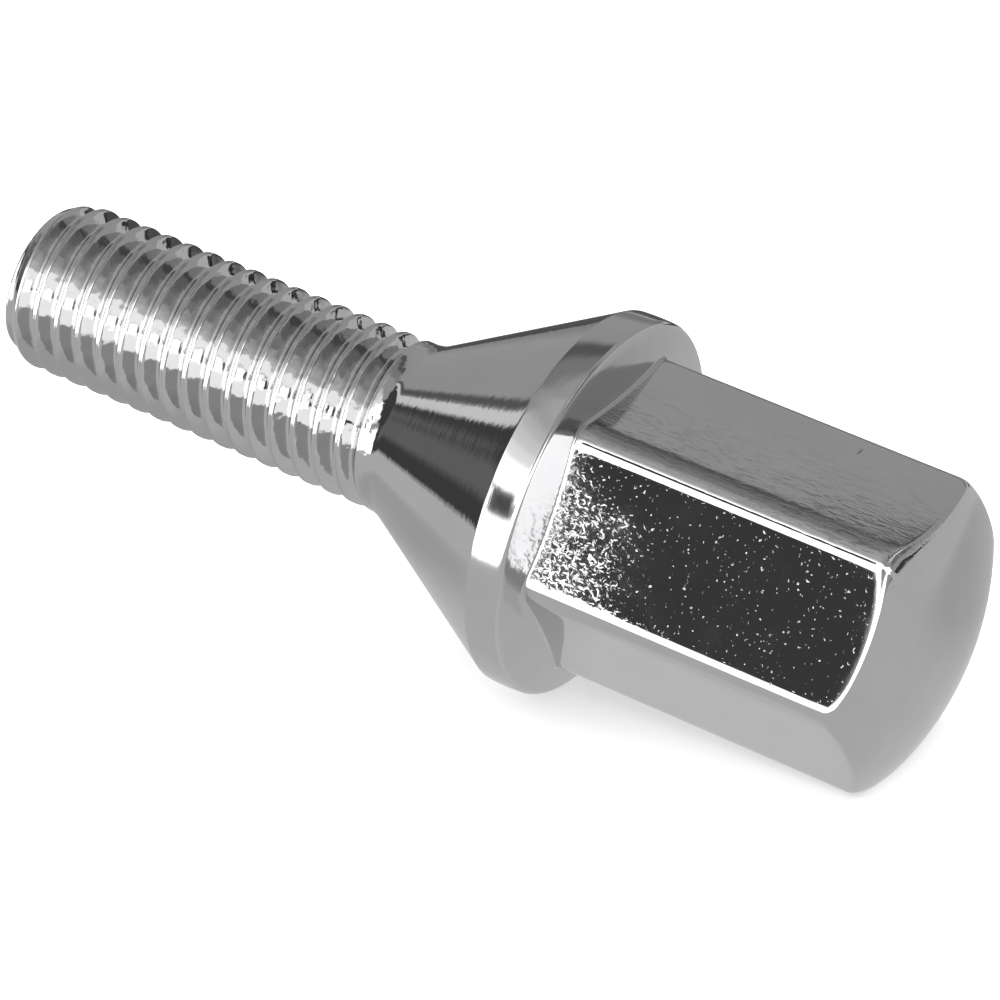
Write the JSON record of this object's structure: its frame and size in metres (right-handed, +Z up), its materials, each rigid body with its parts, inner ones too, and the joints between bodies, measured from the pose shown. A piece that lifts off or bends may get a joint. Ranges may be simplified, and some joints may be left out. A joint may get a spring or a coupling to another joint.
{
  "type": "wheel bolt",
  "caption": "One-piece chromed wheel bolt with a coarse thread, a 60 degree conical seat, a short collar band and a long domed hexagon head, lying on its side.",
  "frame": {"origin": "on the surface the bolt lies on, at the middle of its bounding box seen from above", "axes": "+X from the thread's tip towards the head, as seen from above; +Z up. The bolt lies on a hexagon flat and its collar, so its own axis drops 8.31 degrees towards the head"},
  "size_m": [0.0708, 0.026, 0.026],
  "materials": {
    "chrome_plate": "bright chrome plate with fine pits and light scratches"
  },
  "bodies": {
    "root": {"wheel_bolt": "chrome_plate"}
  },
  "joints": []
}
